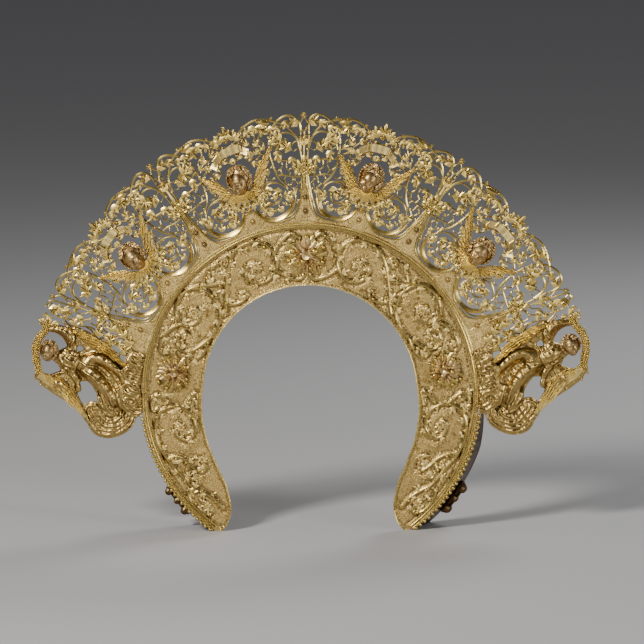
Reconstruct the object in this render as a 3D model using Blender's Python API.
"""Filigree diadem: a gilt crescent halo on an embossed horseshoe band, standing on its two legs.

Metres, +Z up, front towards -Y. Flat shapes are drawn in the plane of the crown, as angles from its
top and distances from the centre of the opening, and given their thickness along Y. The whole crown
then leans back and rests on its leg tips and on the feet of two strips behind the legs.
"""

import math

import bmesh
import bpy
from mathutils import Matrix, Vector

# Seams and how the crown stands
SEAM = 0.0003
LEAN_DEGREES = 4.0
FOOT_DROP = 0.0978

# The horseshoe band, from the opening outwards
OPENING_RADIUS = 0.0763
RIM_WIDTH = 0.0018
FIELD_WIDTH = 0.0382
MOULDING_WIDTH = 0.0035
BAND_THICKNESS = 0.0020
RIM_RISE = 0.0012
MOULDING_RISE = 0.0010
RELIEF_RISE = 0.0016
STEM_WIDTH = 0.0019
LEG_START = 95.0
LEG_END = 144.6

# The granulated plate with its cusps
SPANDREL_WIDTH = 0.0029
SPANDREL_THICKNESS = 0.0016
SPANDREL_END = 77.5
SHORT_CUSP_HEIGHT = 0.0115
CUSP_STEM_SHARE = 0.491
CUSP_STEM_WIDTH = 0.0016

# The pierced crescent
MODULES = 4
MODULE_SPAN = 34.5
CREST_HEIGHT = 0.0743
LOBE_ANGLE = 9.8
LOBE_RADIUS = 0.0136
WIRE_WIDTH = 0.0015
WIRE_THICKNESS = 0.0016
LOBE_SIDES = 14
LAYER_STEP = 0.00003
MERGE_DISTANCE = 0.000002

# Cherub heads, ribbons and rosettes
CHERUB_HEIGHT_SHARE = 0.455
HEAD_WIDTH = 0.0125
HEAD_HEIGHT = 0.0175
HEAD_DEPTH = 0.0090
HAIR_WIDTH = 0.0188
HAIR_HEIGHT = 0.0150
HAIR_DEPTH = 0.0062
WING_THICKNESS = 0.0026
RIBBON_THICKNESS = 0.0012
ROSETTE_RADIUS = 0.0044
ROSETTE_RISE = 0.0030

# The three high flowers on the band
FLOWER_ANGLE = 81.0
FLOWER_RADIUS = 0.0135
FLOWER_RISE = 0.0062

# Angels on their clouds
ANGEL_WIDTH = 0.0802
ANGEL_THICKNESS = 0.0018
ANGEL_START = 78.6
ANGEL_END = 96.5
ANGEL_RELIEF = 0.0075

# Beads on the outer edge of the legs, strips behind them, and hooks
BEAD_COUNT = 25
BEAD_RADIUS = 0.0016
BEADING_WIDTH = 0.0030
BEADING_START = 97.5
BEADING_END = 143.6
FLANGE_START = 98.0
FLANGE_END = 145.6
FLANGE_THICKNESS = 0.0016
FLANGE_DEPTH = 0.0290
FLANGE_FLARE = 0.0030
HOOK_START = 122.0
HOOK_END = 134.0
HOOK_REACH = 0.0075
HOOK_DEPTH = 0.0100
HOOK_BACK = 0.0120

RIM_OUTER = OPENING_RADIUS + RIM_WIDTH
FIELD_OUTER = RIM_OUTER + FIELD_WIDTH
BAND_OUTER = FIELD_OUTER + MOULDING_WIDTH
SPANDREL_INNER = BAND_OUTER + SEAM
SCALLOP_RADIUS = SPANDREL_INNER + SPANDREL_WIDTH
HALF_SPAN = MODULE_SPAN / 2
LAST_CUSP = MODULES * HALF_SPAN
CUSP_STEM_HEIGHT = CREST_HEIGHT * CUSP_STEM_SHARE
LOBE_CENTRE = SCALLOP_RADIUS + SEAM + WIRE_WIDTH / 2 + LOBE_RADIUS
WIRE_BACK = (BAND_THICKNESS + WIRE_THICKNESS) / 2
WIRE_FRONT = WIRE_BACK - WIRE_THICKNESS
LAYERS = 20
SEAT = WIRE_FRONT - LAYERS * LAYER_STEP - SEAM

# Inner edge of a leg: share of the way down the leg, angle, distance as a share of the outer radius
LEG_INNER_EDGE = (
    (0.00, 95.0, 0.648),
    (0.19, 104.2, 0.661),
    (0.40, 115.5, 0.680),
    (0.55, 122.6, 0.692),
    (0.68, 129.0, 0.711),
    (0.79, 135.6, 0.737),
    (0.87, 140.6, 0.781),
    (0.93, 144.9, 0.841),
    (0.97, 146.7, 0.925),
    (1.00, 146.4, 0.985),
)

# Edge of a long cusp: height as a share of the crest, half width as a share of the lobe's angle
CUSP_EDGE = (
    (0.000, 1.000),
    (0.010, 0.640),
    (0.039, 0.368),
    (0.100, 0.225),
    (0.282, 0.095),
)

# The plate's end past the last cusp: share of the way to its end, height as a share of the crest
SPANDREL_END_EDGE = ((1.0, 0.03), (0.78, 0.09), (0.55, 0.155), (0.38, 0.24), (0.20, 0.33))

# Wires of half a module: side step from the cusp's stem as a share of the half module, height as a
# share of the crest
HALF_MODULE_WIRES = (
    ((0.29, 0.30), (0.41, 0.43), (0.465, 0.60), (0.445, 0.77), (0.36, 0.90), (0.23, 0.985),
     (0.10, 0.985), (0.025, 0.90), (0.015, 0.66)),
    ((0.01, 0.67), (0.07, 0.78), (0.19, 0.825), (0.33, 0.80), (0.455, 0.65)),
    ((0.0, 0.412), (0.395, 0.43)),
    ((0.01, 0.55), (0.52, 0.60)),
    ((0.47, 0.020), (0.285, 0.060), (0.18, 0.15), (0.175, 0.27), (0.30, 0.338)),
    ((0.46, 0.64), (0.52, 0.76), (0.60, 0.68)),
)

# The scroll inside a lobe, from its top inwards: angle round the lobe from its foot, and distance as a
# share of the lobe's radius
LOBE_SCROLL = ((178.0, 1.0), (152.0, 0.72), (122.0, 0.42), (50.0, 0.22), (285.0, 0.30), (242.0, 0.50))

# Wires that run on over the cherub's axis into the other half module, and their heights there. The
# last one is the bar that the cherub is soldered to.
BRIDGING_WIRES = (
    ((0.03, 0.655), (0.07, 0.79), (0.19, 0.885), (0.38, 0.955), (0.60, 0.975), (0.76, 0.935),
     (0.90, 0.82)),
    ((0.52, 0.62), (0.585, 0.50), (0.67, 0.375), (0.80, 0.27)),
    ((0.515, 0.625), (0.72, 0.69), (0.87, 0.72)),
    ((0.585, 0.495), (0.78, 0.455)),
)
BRIDGE_HEIGHTS = (0.80, 0.23, 0.74, 0.44)

# Leaves of half a module, each a closed outline in the same shares
HALF_MODULE_LEAVES = (
    ((0.60, 0.015), (0.76, 0.050), (0.88, 0.19), (0.72, 0.12)),
    ((0.42, 0.955), (0.60, 0.985), (0.64, 0.90), (0.50, 0.88)),
)

# The leafy crest above each cherub, right half, in the same shares
CREST_LEAF = ((1.0, 0.79), (0.93, 0.80), (0.86, 0.95), (0.915, 0.92), (0.95, 0.99), (0.975, 0.94),
              (1.0, 1.0))

# Wires between the last cusp and an angel, in the same shares past the cusp
END_WIRES = (
    ((0.0, 0.40), (0.0, 0.50), (0.015, 0.66), (0.02, 0.80), (0.03, 0.92), (0.09, 0.985), (0.15, 0.965),
     (0.19, 0.89), (0.17, 0.80), (0.06, 0.745)),
    ((0.175, 0.83), (0.165, 0.72), (0.12, 0.60), (0.015, 0.54)),
    ((0.0, 0.44), (0.10, 0.47), (0.175, 0.42), (0.21, 0.34), (0.215, 0.24)),
    ((0.12, 0.61), (0.17, 0.53), (0.16, 0.42)),
)

# Scrolls raised on the band: angle from the top and share across the field
BAND_SCROLLS = (
    ((17.0, 0.40), (18.5, 0.22), (23.5, 0.24), (26.2, 0.44), (25.0, 0.74), (20.5, 0.88), (15.5, 0.76),
     (13.4, 0.50), (15.4, 0.18), (20.5, 0.07), (25.5, 0.17)),
    ((20.5, 0.955), (26.0, 0.95), (31.5, 0.80), (36.0, 0.58), (40.0, 0.38), (44.0, 0.20), (49.0, 0.08)),
    ((55.0, 0.42), (52.0, 0.33), (48.8, 0.46), (49.5, 0.72), (53.5, 0.86), (58.0, 0.72), (59.6, 0.45),
     (57.8, 0.19), (53.0, 0.07)),
    ((38.0, 0.62), (40.5, 0.76), (43.8, 0.72), (45.4, 0.52), (46.2, 0.30)),
    ((106.5, 0.60), (103.5, 0.48), (106.0, 0.32), (110.0, 0.44), (109.4, 0.74), (103.5, 0.88),
     (97.5, 0.76), (94.8, 0.50), (97.5, 0.24), (103.0, 0.14)),
    ((104.5, 0.955), (110.0, 0.965), (118.0, 0.93), (126.0, 0.80), (133.0, 0.66), (138.5, 0.62),
     (141.2, 0.74), (140.4, 0.90), (136.0, 0.94), (133.8, 0.84)),
)

# Places down a leg at which the band's section is set, as shares of the leg
LEG_SECTIONS = (0.12, 0.26, 0.40, 0.55, 0.68, 0.79, 0.87, 0.93, 0.97, 1.0)

# Leaves raised on the band: angle, share across, length and width as shares of the field, turn
BAND_LEAVES = (
    (20.5, 0.56, 0.30, 0.16, 35.0),
    (31.0, 0.42, 0.34, 0.16, -50.0),
    (36.5, 0.86, 0.34, 0.16, 60.0),
    (53.5, 0.60, 0.28, 0.15, -30.0),
    (64.0, 0.70, 0.36, 0.16, 70.0),
    (65.0, 0.30, 0.34, 0.16, 110.0),
    (101.0, 0.62, 0.26, 0.14, 40.0),
    (118.5, 0.52, 0.40, 0.22, 100.0),
    (128.0, 0.50, 0.30, 0.14, 120.0),
)

# Wing of a cherub: side step and height, as shares of the half module and of the crest
WING_OUTLINE = (
    (0.000, 0.235), (0.065, 0.240), (0.165, 0.290), (0.270, 0.370), (0.355, 0.480), (0.440, 0.560),
    (0.505, 0.640), (0.400, 0.610), (0.300, 0.570), (0.250, 0.480), (0.200, 0.400), (0.110, 0.375),
    (0.000, 0.370),
)

# Ribbon above a cherub, right half, in the same shares
RIBBON_OUTLINE = (
    (0.000, 0.800), (0.160, 0.790), (0.155, 0.745), (0.290, 0.700), (0.270, 0.645), (0.130, 0.675),
    (0.120, 0.715), (0.000, 0.720),
)

# Angel, as shares of its width: outwards from the band's edge, and up from the centre line
ANGEL_BODY = (
    (0.065, 0.330), (0.140, 0.280), (0.230, 0.290), (0.330, 0.300), (0.440, 0.330), (0.530, 0.330),
    (0.580, 0.250), (0.540, 0.150), (0.470, 0.110), (0.400, 0.060), (0.390, -0.040), (0.430, -0.110),
    (0.530, -0.100), (0.520, -0.200), (0.440, -0.310), (0.360, -0.365), (0.260, -0.345),
    (0.145, -0.310), (0.085, -0.225), (0.060, -0.155),
)
ANGEL_UPPER_WING = (
    (0.640, 0.585), (0.430, 0.480), (0.335, 0.405), (0.260, 0.320), (0.165, 0.200), (0.240, 0.200),
    (0.390, 0.290), (0.510, 0.400), (0.620, 0.440),
)
ANGEL_SHOULDER = ((0.830, 0.585), (0.710, 0.590), (0.640, 0.540), (0.620, 0.440), (0.660, 0.370))
ANGEL_GARLAND = (
    (0.855, 0.590), (0.930, 0.510), (0.972, 0.415), (0.975, 0.320), (0.955, 0.220), (0.925, 0.150),
)
ANGEL_LOWER_WING = (
    (0.960, 0.190), (0.900, 0.220), (0.770, 0.190), (0.690, 0.120), (0.600, 0.020), (0.540, -0.080),
    (0.480, -0.140), (0.545, -0.170), (0.710, -0.045), (0.865, 0.060),
)
ANGEL_NECKLINE = ((0.770, 0.190), (0.700, 0.230), (0.640, 0.260), (0.560, 0.260))
ANGEL_BANDS = ((ANGEL_SHOULDER, 0.055), (ANGEL_GARLAND, 0.050), (ANGEL_NECKLINE, 0.060))
# Rounded forms: outwards, up, half length, half width, rise as a share of the relief, turn
ANGEL_FORMS = (
    (0.845, 0.360, 0.085, 0.068, 0.95, 8.0),
    (0.690, 0.310, 0.130, 0.085, 0.85, -24.0),
    (0.420, 0.190, 0.180, 0.080, 1.00, -58.0),
    (0.270, 0.180, 0.150, 0.060, 0.70, -35.0),
    (0.330, -0.040, 0.140, 0.075, 0.65, -80.0),
    (0.440, -0.210, 0.090, 0.070, 0.60, 20.0),
    (0.290, -0.240, 0.110, 0.080, 0.70, 0.0),
    (0.160, -0.150, 0.085, 0.110, 0.60, 0.0),
    (0.115, 0.090, 0.070, 0.120, 0.55, 0.0),
)

# Edge of one knuckle of a hook: share along it and share of its reach
KNUCKLE = ((0.05, 0.35), (0.25, 0.9), (0.5, 1.0), (0.75, 0.9), (0.95, 0.35))
KNUCKLES = 3


def clear_scene():
    for thing in list(bpy.data.objects):
        bpy.data.objects.remove(thing, do_unlink=True)


def gilt(name, colour, roughness):
    """A gold finish of its own colour and polish."""
    material = bpy.data.materials.new(name)
    material.use_nodes = True
    shader = material.node_tree.nodes["Principled BSDF"]
    shader.inputs["Base Color"].default_value = (*colour, 1.0)
    shader.inputs["Metallic"].default_value = 1.0
    shader.inputs["Roughness"].default_value = roughness
    return material


def polar(angle, radius):
    """The point of the crown's plane at an angle from the top, clockwise seen from the front."""
    turn = math.radians(angle)
    return Vector((radius * math.sin(turn), radius * math.cos(turn)))


def smooth(points, steps=2):
    """A rounded run through the points, with this many steps from each to the next."""
    rounded = []
    last = len(points) - 1
    for index in range(last):
        before = points[max(index - 1, 0)]
        start = points[index]
        end = points[index + 1]
        after = points[min(index + 2, last)]
        for step in range(steps):
            t = step / steps
            rounded.append(0.5 * (2 * start + (end - before) * t
                                  + (2 * before - 5 * start + 4 * end - after) * t * t
                                  + (3 * start - before - 3 * end + after) * t ** 3))
    rounded.append(points[last])
    return rounded


def side_normals(points, closed=False):
    """The unit vector to the right of the path at each of its points."""
    count = len(points)
    normals = []
    for index, point in enumerate(points):
        before = points[index - 1] if closed or index else point
        after = points[(index + 1) % count] if closed or index < count - 1 else point
        along = (after - before).normalized()
        normals.append(Vector((along.y, -along.x)))
    return normals


def offset(points, distance):
    """The same path, moved sideways to its right."""
    return [point + normal * distance for point, normal in zip(points, side_normals(points))]


def solid(name, material, corners, faces):
    """A closed mesh object with its faces pointing out."""
    shape = bmesh.new()
    placed = [shape.verts.new(corner) for corner in corners]
    for face in faces:
        shape.faces.new([placed[index] for index in face])
    bmesh.ops.recalc_face_normals(shape, faces=shape.faces)
    mesh = bpy.data.meshes.new(name)
    shape.to_mesh(mesh)
    shape.free()
    mesh.materials.append(material)
    thing = bpy.data.objects.new(name, mesh)
    bpy.context.scene.collection.objects.link(thing)
    return thing


def plate(name, material, outline, front, back):
    """A flat plate: an outline of the crown's plane between two depths."""
    count = len(outline)
    corners = [(p.x, front, p.y) for p in outline] + [(p.x, back, p.y) for p in outline]
    faces = [tuple(range(count)), tuple(range(2 * count - 1, count - 1, -1))]
    for index in range(count):
        after = (index + 1) % count
        faces.append((index, index + count, after + count, after))
    return solid(name, material, corners, faces)


def wire(name, material, points, width, front, back, closed=False, ridged=False):
    """A wire along a path, flat or ridged in front, narrowed at its two free ends."""
    count = len(points)
    flat = ((-0.5, front), (0.5, front), (0.5, back), (-0.5, back))
    section = ((0.0, front), (0.5, back), (-0.5, back)) if ridged else flat
    sides = len(section)
    corners = []
    for index, (point, normal) in enumerate(zip(points, side_normals(points, closed))):
        free_end = not closed and index in (0, count - 1)
        narrow = width * (0.7 if free_end else 1.0)
        for share, depth in section:
            place = point + normal * narrow * share
            corners.append((place.x, depth, place.y))
    faces = []
    for index in range(count if closed else count - 1):
        here = sides * index
        after = sides * ((index + 1) % count)
        for edge in range(sides):
            following = (edge + 1) % sides
            faces.append((here + edge, here + following, after + following, after + edge))
    if not closed:
        faces.append(tuple(reversed(range(sides))))
        faces.append(tuple(sides * (count - 1) + edge for edge in range(sides)))
    return solid(name, material, corners, faces)


def dome(name, material, place, half_length, half_width, rise, turn, sink, sides=8, rings=3):
    """A rounded form that stands out of the plate in front, flat at its back."""
    corners = []
    heading = math.radians(turn)
    for ring in range(rings):
        climb = math.radians(90.0 * ring / rings)
        for side in range(sides):
            around = 2 * math.pi * side / sides
            along = half_length * math.cos(climb) * math.cos(around)
            across = half_width * math.cos(climb) * math.sin(around)
            corners.append((place.x + along * math.cos(heading) - across * math.sin(heading),
                            sink - (sink + rise) * math.sin(climb),
                            place.y + along * math.sin(heading) + across * math.cos(heading)))
    corners.append((place.x, -rise, place.y))
    faces = [tuple(range(sides))]
    for ring in range(rings - 1):
        for side in range(sides):
            after = (side + 1) % sides
            low = ring * sides
            faces.append((low + side, low + after, low + sides + after, low + sides + side))
    top = (rings - 1) * sides
    for side in range(sides):
        faces.append((top + side, top + (side + 1) % sides, rings * sides))
    return solid(name, material, corners, faces)


def fuse(base, parts):
    """The parts joined to the base as one solid, and their own objects removed."""
    group = bpy.data.collections.new(base.name + ".parts")
    bpy.context.scene.collection.children.link(group)
    for piece in parts:
        bpy.context.scene.collection.objects.unlink(piece)
        group.objects.link(piece)
    union = base.modifiers.new("union", "BOOLEAN")
    union.operation = "UNION"
    union.solver = "EXACT"
    union.operand_type = "COLLECTION"
    union.collection = group
    joined = bpy.data.meshes.new_from_object(base.evaluated_get(bpy.context.evaluated_depsgraph_get()))
    base.modifiers.remove(union)
    base.data = joined
    for piece in list(group.objects):
        bpy.data.objects.remove(piece, do_unlink=True)
    bpy.data.collections.remove(group)
    shape = bmesh.new()
    shape.from_mesh(joined)
    bmesh.ops.remove_doubles(shape, verts=shape.verts, dist=MERGE_DISTANCE)
    bmesh.ops.dissolve_limit(shape, angle_limit=math.radians(0.2), verts=shape.verts,
                             edges=shape.edges)
    shape.to_mesh(joined)
    shape.free()
    return base


def crest_radius(height):
    """Distance from the centre at a share of the crest's height."""
    return SCALLOP_RADIUS + CREST_HEIGHT * height


def stem_clearance(radius):
    """Angle from a cusp's axis at which a wire just clears the cusp's stem."""
    return math.degrees((CUSP_STEM_WIDTH / 2 + SEAM + WIRE_WIDTH / 2) / radius)


def module_point(axis, side, step, height):
    """A point of half a module, stepped sideways from the cusp at this axis."""
    radius = crest_radius(height)
    clear = stem_clearance(radius)
    return polar(axis + side * (clear + step * (HALF_SPAN - clear)), radius)


def leg_inner_point(share, side):
    """The inner edge of a leg at a share of the way down."""
    rows = LEG_INNER_EDGE
    for row, following in zip(rows, rows[1:]):
        if share <= following[0]:
            break
    t = (share - row[0]) / (following[0] - row[0])
    angle = row[1] + (following[1] - row[1]) * t
    return polar(side * angle, BAND_OUTER * (row[2] + (following[2] - row[2]) * t))


def band_sections():
    """Inner and outer edge points of the band, from the left tip over the top to the right tip."""
    arc_steps = 30
    sections = []
    for index in range(arc_steps + 1):
        angle = -LEG_START + 2 * LEG_START * index / arc_steps
        opening = OPENING_RADIUS
        if index in (0, arc_steps):
            opening = BAND_OUTER * LEG_INNER_EDGE[0][2]
        sections.append((polar(angle, opening), polar(angle, BAND_OUTER)))
    for share in LEG_SECTIONS:
        angle = LEG_START + share * (LEG_END - LEG_START)
        for side in (-1, 1):
            pair = (leg_inner_point(share, side), polar(side * angle, BAND_OUTER))
            sections.insert(0 if side < 0 else len(sections), pair)
    return sections


def horseshoe_band(material):
    """The embossed band: rim, field and moulding in one sheet, with scrolls and leaves raised."""
    corners = []
    sections = band_sections()
    for inner, outer in sections:
        across = outer - inner
        width = across.length
        across = across / width
        full = RIM_WIDTH + MOULDING_WIDTH
        narrow = min(1.0, 0.8 * width / full)
        profile = (
            (0.0, BAND_THICKNESS),
            (0.0, -RIM_RISE / 2),
            (RIM_WIDTH * narrow / 2, -RIM_RISE),
            (RIM_WIDTH * narrow, 0.0),
            (width - MOULDING_WIDTH * narrow, 0.0),
            (width - MOULDING_WIDTH * narrow * 0.7, -MOULDING_RISE),
            (width, -MOULDING_RISE),
            (width, BAND_THICKNESS),
        )
        for distance, depth in profile:
            place = inner + across * distance
            corners.append((place.x, depth, place.y))
    count = len(profile)
    faces = [tuple(range(count)), tuple((len(sections) - 1) * count + k for k in range(count))]
    for index in range(len(sections) - 1):
        here = index * count
        for edge in range(count):
            following = (edge + 1) % count
            faces.append((here + edge, here + following, here + count + following,
                          here + count + edge))
    band = solid("horseshoe_band", material, corners, faces)
    raised = []
    sunk = BAND_THICKNESS / 2
    turns = len(BAND_SCROLLS)
    for side in (-1, 1):
        for order, scroll in enumerate(BAND_SCROLLS):
            path = [field_point(side * a, share) for a, share in scroll]
            rise = RELIEF_RISE + order * LAYER_STEP
            raised.append(wire("scroll", material, path, STEM_WIDTH, -rise, sunk + order * LAYER_STEP))
        for order, (angle, share, length, width, turn) in enumerate(BAND_LEAVES):
            rise = RELIEF_RISE * 1.2 + order * LAYER_STEP
            lie = side * (90.0 - turn) - side * angle if side > 0 else 180.0 - (90.0 - turn - angle)
            raised.append(dome("leaf", material, field_point(side * angle, share),
                               FIELD_WIDTH * length / 2, FIELD_WIDTH * width / 2, rise, lie,
                               (turns + 1 + order) * LAYER_STEP, sides=6, rings=1))
    return fuse(band, raised)


def field_point(angle, share):
    """A point of the band's field, share 0 at the inner rim and 1 at the moulding."""
    return polar(angle, RIM_OUTER + FIELD_WIDTH * share)


def cusp_edge_angle(height):
    """Half width of a long cusp, as an angle, at a share of the crest's height."""
    stem = math.degrees(CUSP_STEM_WIDTH / 2 / crest_radius(height))
    rows = CUSP_EDGE
    if height >= rows[-1][0]:
        top = rows[-1]
        reach = (CUSP_STEM_SHARE - top[0]) * 0.4
        fade = max(0.0, 1.0 - (height - top[0]) / reach)
        return stem + fade * max(0.0, top[1] * LOBE_ANGLE - stem)
    for row, following in zip(rows, rows[1:]):
        if height <= following[0]:
            break
    t = (height - row[0]) / (following[0] - row[0])
    return (row[1] + (following[1] - row[1]) * t) * LOBE_ANGLE


def cusp_side(axis, side, top):
    """The edge of a long cusp from the foot of the lobe up to a share of the crest."""
    heights = [row[0] for row in CUSP_EDGE] + [0.365]
    heights = [height for height in heights if height < top - 0.01] + [top]
    return [polar(axis + side * cusp_edge_angle(h), crest_radius(h)) for h in heights]


def lobe_point(axis, side, around, radius):
    """A point round the lobe beside the cusp at this axis, from its foot towards the short cusp."""
    lobe = axis + side * LOBE_ANGLE
    centre = polar(lobe, LOBE_CENTRE)
    turn = math.radians(side * around)
    away = Vector((math.sin(turn), -math.cos(turn))) * radius
    heading = math.radians(lobe)
    return centre + Vector((away.x * math.cos(heading) + away.y * math.sin(heading),
                            -away.x * math.sin(heading) + away.y * math.cos(heading)))


def spandrel_plate(material):
    """The plate between the lobes: long cusps with stems, and short cusps under the cherubs."""
    stem_top = CUSP_STEM_SHARE
    hollow = LOBE_RADIUS + WIRE_WIDTH / 2 + SEAM
    outline = []
    cusps = [-LAST_CUSP + MODULE_SPAN * index for index in range(MODULES + 1)]
    for index, axis in enumerate(cusps):
        if index > 0:
            rising = [lobe_point(axis, -1, around, hollow) for around in (72, 54, 36, 18)]
            outline += rising
            outline += cusp_side(axis, -1, stem_top)
        else:
            outline += end_edge(-1, stem_top)
        if index < MODULES:
            outline += reversed(cusp_side(axis, 1, stem_top))
            outline += [lobe_point(axis, 1, around, hollow) for around in (18, 36, 54, 72)]
            outline.append(polar(axis + HALF_SPAN, SCALLOP_RADIUS + SHORT_CUSP_HEIGHT))
        else:
            outline += reversed(end_edge(1, stem_top))
    inner_steps = 30
    for index in range(inner_steps + 1):
        angle = SPANDREL_END - 2 * SPANDREL_END * index / inner_steps
        outline.append(polar(angle, SPANDREL_INNER))
    middle = BAND_THICKNESS / 2
    return plate("spandrel_plate", material, outline, middle - SPANDREL_THICKNESS / 2,
                 middle + SPANDREL_THICKNESS / 2)


def end_edge(side, stem_top):
    """The plate's last edge, from its end at the moulding up to the outer side of the last cusp."""
    reach = SPANDREL_END - LAST_CUSP
    edge = [polar(side * (LAST_CUSP + reach * share), crest_radius(h))
            for share, h in SPANDREL_END_EDGE]
    stem = [polar(side * (LAST_CUSP + math.degrees(CUSP_STEM_WIDTH / 2 / crest_radius(h))),
                  crest_radius(h)) for h in (0.38, stem_top)]
    return edge + stem


def openwork(name, material, axis):
    """One module of the pierced crescent, between the cusps beside this cherub axis."""
    pieces = []
    layer = 0
    for side in (-1, 1):
        cusp = axis - side * HALF_SPAN
        stem = offset(cusp_side(cusp, side, 0.40), side * (SEAM + WIRE_WIDTH / 2))
        stem[0] = lobe_point(cusp, side, 0, LOBE_RADIUS)
        stem += [module_point(cusp, side, 0.0, 0.52), module_point(cusp, side, 0.01, 0.68)]
        paths = [stem]
        paths.append([lobe_point(cusp, side, around, LOBE_RADIUS * share)
                      for around, share in LOBE_SCROLL])
        paths += [[module_point(cusp, side, *place) for place in row] for row in HALF_MODULE_WIRES]
        for path in paths:
            layer += 1
            shift = layer % LAYERS * LAYER_STEP
            pieces.append(wire("wire", material, path, WIRE_WIDTH, WIRE_FRONT - shift,
                               WIRE_BACK + shift, ridged=True))
        for row in HALF_MODULE_LEAVES:
            layer += 1
            shift = layer % LAYERS * LAYER_STEP
            leaf = [module_point(cusp, side, *place) for place in row]
            pieces.append(plate("leaf", material, leaf, WIRE_FRONT - shift, WIRE_BACK + shift))
        layer += 1
        shift = layer % LAYERS * LAYER_STEP
        ring = [lobe_point(cusp, side, 360.0 * k / LOBE_SIDES, LOBE_RADIUS) for k in range(LOBE_SIDES)]
        pieces.append(wire("lobe", material, ring, WIRE_WIDTH, WIRE_FRONT - shift,
                           WIRE_BACK + shift, closed=True, ridged=True))
    for row, height in zip(BRIDGING_WIRES, BRIDGE_HEIGHTS):
        layer += 1
        shift = layer % LAYERS * LAYER_STEP
        path = [module_point(axis - HALF_SPAN, 1, *place) for place in row]
        path.append(polar(axis, crest_radius(height)))
        path += [module_point(axis + HALF_SPAN, -1, *place) for place in reversed(row)]
        pieces.append(wire("bridge", material, path, WIRE_WIDTH, WIRE_FRONT - shift,
                           WIRE_BACK + shift, ridged=True))
    left = [module_point(axis - HALF_SPAN, 1, *place) for place in CREST_LEAF]
    right = [module_point(axis + HALF_SPAN, -1, *place) for place in CREST_LEAF[1:-1]]
    crest = plate(name, material, left + right[::-1], WIRE_FRONT, WIRE_BACK)
    return fuse(crest, pieces)


def openwork_end(name, material, side):
    """The wires between the last cusp and an angel."""
    pieces = []
    for layer, row in enumerate(END_WIRES):
        path = [module_point(side * LAST_CUSP, side, *place) for place in row]
        pieces.append(wire(name, material, path, WIRE_WIDTH, WIRE_FRONT - layer * LAYER_STEP,
                           WIRE_BACK + layer * LAYER_STEP, ridged=True))
    return fuse(pieces[0], pieces[1:])


def cherub(name, material, axis):
    """A winged head in front of its module."""
    outline = []
    for side in (1, -1):
        rows = WING_OUTLINE if side > 0 else WING_OUTLINE[1:-1][::-1]
        outline += [polar(axis + side * step * HALF_SPAN, crest_radius(h)) for step, h in rows]
    wings = plate(name, material, outline, SEAT - WING_THICKNESS, SEAT)
    centre = polar(axis, crest_radius(CHERUB_HEIGHT_SHARE))
    crown = polar(axis, crest_radius(CHERUB_HEIGHT_SHARE + 0.025))
    hair = dome("hair", material, crown, HAIR_WIDTH / 2, HAIR_HEIGHT / 2, HAIR_DEPTH - SEAT, -axis,
                SEAT - LAYER_STEP, sides=12)
    face = dome("face", material, centre, HEAD_WIDTH / 2, HEAD_HEIGHT / 2, HEAD_DEPTH - SEAT, -axis,
                SEAT - 2 * LAYER_STEP, sides=12)
    return fuse(wings, [hair, face])


def ribbon(name, material, axis):
    """The folded ribbon above a cherub."""
    outline = []
    for side in (1, -1):
        rows = RIBBON_OUTLINE if side > 0 else RIBBON_OUTLINE[1:-1][::-1]
        outline += [polar(axis + side * step * HALF_SPAN, crest_radius(h)) for step, h in rows]
    return plate(name, material, outline, SEAT - RIBBON_THICKNESS, SEAT)


def rosette(name, material, axis):
    """The flower on the stem of a long cusp."""
    centre = polar(axis, SCALLOP_RADIUS + CUSP_STEM_HEIGHT - ROSETTE_RADIUS * 0.4)
    petals = 6
    outline = []
    for index in range(2 * petals):
        reach = ROSETTE_RADIUS * (1.0 if index % 2 == 0 else 0.62)
        outline.append(centre + polar(axis + 180.0 * index / petals, reach))
    flower = plate(name, material, outline, SEAT - ROSETTE_RISE * 0.4, SEAT)
    heart = dome("heart", material, centre, ROSETTE_RADIUS * 0.5, ROSETTE_RADIUS * 0.5,
                 ROSETTE_RISE - SEAT, 0.0, SEAT - LAYER_STEP, sides=10)
    return fuse(flower, [heart])


def band_flower(name, material, axis):
    """A high flower of petals round a boss, pinned on the band."""
    seat = -SEAM
    centre = field_point(axis, 0.5)
    heart = dome(name, material, centre, FLOWER_RADIUS * 0.42, FLOWER_RADIUS * 0.42, FLOWER_RISE,
                 0.0, seat, sides=8)
    petals = []
    count = 5
    for index in range(count):
        turn = axis + 360.0 * index / count
        place = centre + polar(turn, FLOWER_RADIUS * 0.58)
        petals.append(dome("petal", material, place, FLOWER_RADIUS * 0.42, FLOWER_RADIUS * 0.30,
                           FLOWER_RISE * 0.7 + index * LAYER_STEP, 90.0 - turn,
                           seat - (index + 1) * LAYER_STEP, sides=7, rings=2))
    return fuse(heart, petals)


def angel_point(side, out, up):
    """A point of an angel: out from the band's edge and up from the centre line."""
    return Vector((side * (SPANDREL_INNER + ANGEL_WIDTH * out), ANGEL_WIDTH * up))


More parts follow.
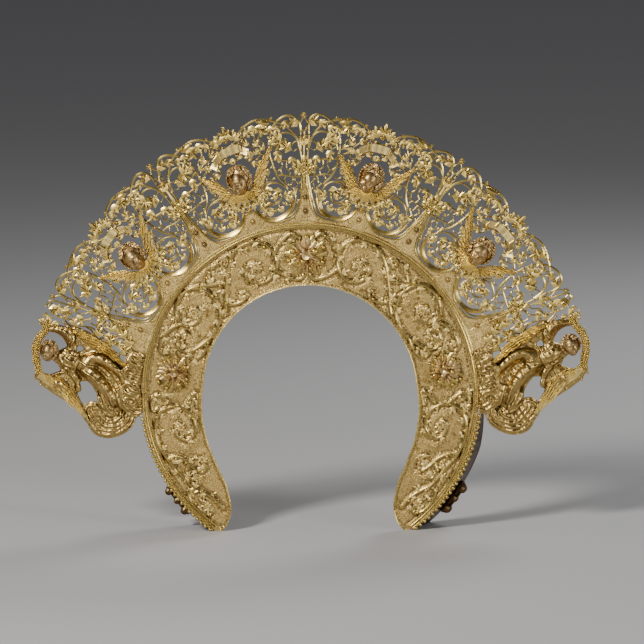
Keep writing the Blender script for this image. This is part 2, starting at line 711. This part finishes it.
def angel(name, material, side):
    """A winged figure at rest on clouds, with openings between wings, head and drapery."""
    edge_steps = 6
    edge = []
    for index in range(edge_steps + 1):
        angle = ANGEL_END + (ANGEL_START - ANGEL_END) * index / edge_steps
        edge.append(polar(side * angle, SPANDREL_INNER))
    outline = [angel_point(side, *place) for place in ANGEL_BODY] + edge
    middle = BAND_THICKNESS / 2
    front = middle - ANGEL_THICKNESS / 2
    back = middle + ANGEL_THICKNESS / 2
    body = plate(name, material, outline, front, back)
    parts = []
    for order, rows in enumerate((ANGEL_UPPER_WING, ANGEL_LOWER_WING), start=1):
        wing = [angel_point(side, *place) for place in rows]
        parts.append(plate("wing", material, wing, front - ANGEL_RELIEF * (0.15 + 0.1 * order),
                           back + order * LAYER_STEP))
    for order, (rows, width) in enumerate(ANGEL_BANDS, start=3):
        path = smooth([angel_point(side, *place) for place in rows])
        parts.append(wire("band", material, path, ANGEL_WIDTH * width,
                          front - ANGEL_RELIEF * 0.1 - order * LAYER_STEP, back + order * LAYER_STEP))
    for order, (out, up, long, wide, rise, turn) in enumerate(ANGEL_FORMS, start=6):
        lie = turn if side > 0 else 180.0 - turn
        parts.append(dome("form", material, angel_point(side, out, up), ANGEL_WIDTH * long,
                          ANGEL_WIDTH * wide, ANGEL_RELIEF * rise, lie,
                          middle + order * LAYER_STEP, sides=7, rings=2))
    return fuse(body, parts)


def leg_beading(name, material, side):
    """The beaded strip along the outer edge of a leg."""
    inner = BAND_OUTER + SEAM
    pitch = (BEADING_END - BEADING_START) / BEAD_COUNT
    outline = []
    for index in range(BEAD_COUNT):
        angle = BEADING_START + pitch * index
        outline.append(polar(side * (angle + pitch * 0.1), inner + BEADING_WIDTH - BEAD_RADIUS))
        outline.append(polar(side * (angle + pitch * 0.6), inner + BEADING_WIDTH))
    steps = 14
    for index in range(steps + 1):
        angle = BEADING_END + (BEADING_START - BEADING_END) * index / steps
        outline.append(polar(side * angle, inner))
    middle = BAND_THICKNESS / 2
    return plate(name, material, outline, middle - BEAD_RADIUS, middle + BEAD_RADIUS)


def back_flange(name, material, side):
    """The strip that stands out behind a leg, cut level at its foot."""
    steps = 18
    front = BAND_THICKNESS / 2 + BEAD_RADIUS + SEAM
    inner = BAND_OUTER + SEAM
    corners = []
    for index in range(steps + 1):
        angle = FLANGE_START + (FLANGE_END - FLANGE_START) * index / steps
        deep = FLANGE_DEPTH * min(1.0, 0.45 + 2.2 * index / steps)
        flare = FLANGE_FLARE * deep / FLANGE_DEPTH
        for radius, depth in ((inner, front), (inner + FLANGE_THICKNESS, front),
                              (inner + FLANGE_THICKNESS + flare, front + deep),
                              (inner + flare, front + deep)):
            place = polar(side * angle, radius)
            corners.append((place.x, depth, place.y))
    faces = [(0, 1, 2, 3), tuple(4 * steps + k for k in range(4))]
    for index in range(steps):
        here = 4 * index
        for edge in range(4):
            following = (edge + 1) % 4
            faces.append((here + edge, here + following, here + 4 + following, here + 4 + edge))
    return solid(name, material, corners, faces)


def hook(name, material, side):
    """Three knuckles for a fastening, on the outside of the strip behind a leg."""
    front = BAND_THICKNESS / 2 + BEAD_RADIUS + SEAM + HOOK_BACK
    flare = FLANGE_FLARE * (HOOK_BACK + HOOK_DEPTH) / FLANGE_DEPTH
    foot = BAND_OUTER + 2 * SEAM + FLANGE_THICKNESS + flare
    outline = []
    pitch = (HOOK_END - HOOK_START) / KNUCKLES
    for index in range(KNUCKLES):
        start = HOOK_START + pitch * index
        for share, reach in KNUCKLE:
            outline.append(polar(side * (start + pitch * share), foot + HOOK_REACH * reach))
    steps = 6
    for index in range(steps + 1):
        angle = HOOK_END + (HOOK_START - HOOK_END) * index / steps
        outline.append(polar(side * angle, foot))
    return plate(name, material, outline, front, front + HOOK_DEPTH)


def level_foot(thing):
    """Cuts off what reaches below the surface on which the leaning crown stands."""
    lean = math.radians(LEAN_DEGREES)
    shape = bmesh.new()
    shape.from_mesh(thing.data)
    everything = shape.verts[:] + shape.edges[:] + shape.faces[:]
    cut = bmesh.ops.bisect_plane(shape, geom=everything, dist=0.000001,
                                 plane_co=(0.0, 0.0, -FOOT_DROP / math.cos(lean)),
                                 plane_no=(0.0, math.sin(lean), -math.cos(lean)), clear_outer=True)
    rim = [edge for edge in cut["geom_cut"] if isinstance(edge, bmesh.types.BMEdge)]
    if rim:
        bmesh.ops.edgenet_fill(shape, edges=rim)
    bmesh.ops.recalc_face_normals(shape, faces=shape.faces)
    shape.to_mesh(thing.data)
    shape.free()


def stand_up(pieces):
    """Leans the crown back about its feet and centres it over the origin."""
    lean = Matrix.Rotation(-math.radians(LEAN_DEGREES), 4, "X")
    depths = [(lean @ vertex.co).y for piece in pieces for vertex in piece.data.vertices]
    crown = bpy.data.objects.new("crown", None)
    bpy.context.scene.collection.objects.link(crown)
    crown.rotation_euler.x = -math.radians(LEAN_DEGREES)
    crown.location = (0.0, -(min(depths) + max(depths)) / 2, FOOT_DROP)
    for piece in pieces:
        piece.parent = crown


def build():
    clear_scene()
    sheet = gilt("gilt_sheet", (0.62, 0.43, 0.16), 0.34)
    casting = gilt("gilt_casting", (0.66, 0.48, 0.19), 0.28)
    warm = gilt("warm_gilt", (0.55, 0.32, 0.13), 0.32)
    dull = gilt("dull_gilt", (0.28, 0.17, 0.08), 0.45)
    band = horseshoe_band(sheet)
    pieces = [band, spandrel_plate(sheet)]
    for index in range(MODULES):
        axis = -LAST_CUSP + HALF_SPAN + MODULE_SPAN * index
        number = str(index + 1)
        pieces.append(openwork("openwork_" + number, casting, axis))
        pieces.append(cherub("cherub_" + number, warm, axis))
        pieces.append(ribbon("ribbon_" + number, casting, axis))
    for index in range(MODULES + 1):
        pieces.append(rosette("rosette_" + str(index + 1), casting, -LAST_CUSP + MODULE_SPAN * index))
    for place, axis in (("top", 0.0), ("left", -FLOWER_ANGLE), ("right", FLOWER_ANGLE)):
        pieces.append(band_flower("band_flower_" + place, warm, axis))
    for place, side in (("left", -1), ("right", 1)):
        pieces.append(openwork_end("openwork_end_" + place, casting, side))
        pieces.append(angel("angel_" + place, casting, side))
        beading = leg_beading("leg_beading_" + place, sheet, side)
        strip = back_flange("back_flange_" + place, dull, side)
        level_foot(beading)
        level_foot(strip)
        pieces += [beading, strip]
        pieces.append(hook("hook_" + place, dull, side))
    level_foot(band)
    stand_up(pieces)


build()
